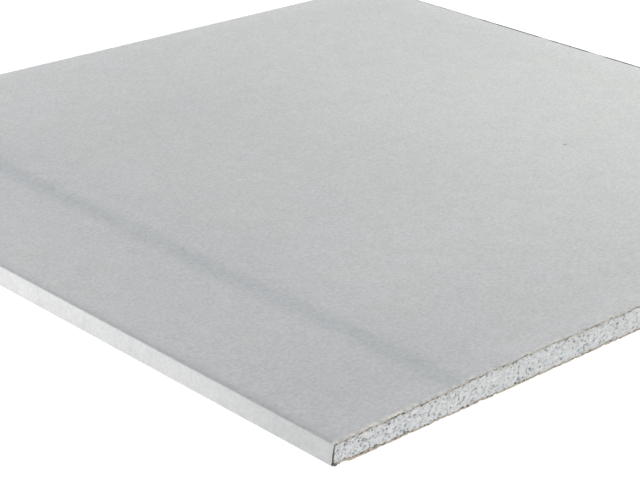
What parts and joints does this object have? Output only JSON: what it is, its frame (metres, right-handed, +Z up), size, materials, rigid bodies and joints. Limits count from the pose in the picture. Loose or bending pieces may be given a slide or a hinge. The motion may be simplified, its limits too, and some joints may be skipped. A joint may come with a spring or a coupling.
{
  "type": "drywall sheet",
  "caption": "Cut piece of tapered-edge gypsum plasterboard: a foamed gypsum core between paper liners, with the face paper wrapped round one factory edge.",
  "frame": {"origin": "on the floor under the middle of the sheet", "axes": "+X across the sheet, away from the bound tapered edge; +Y along the bound edge; +Z up through the face"},
  "size_m": [0.45, 0.435, 0.0125],
  "materials": {
    "gypsum_core": "matt, rough and full of small pores where it is cut",
    "face_paper": "matt light grey liner, brown inside at its cut edges",
    "back_paper": "matt grey-brown liner of recycled fibre"
  },
  "bodies": {
    "root": {"gypsum_core": "gypsum_core", "face_paper": "face_paper", "back_paper": "back_paper"}
  },
  "joints": []
}
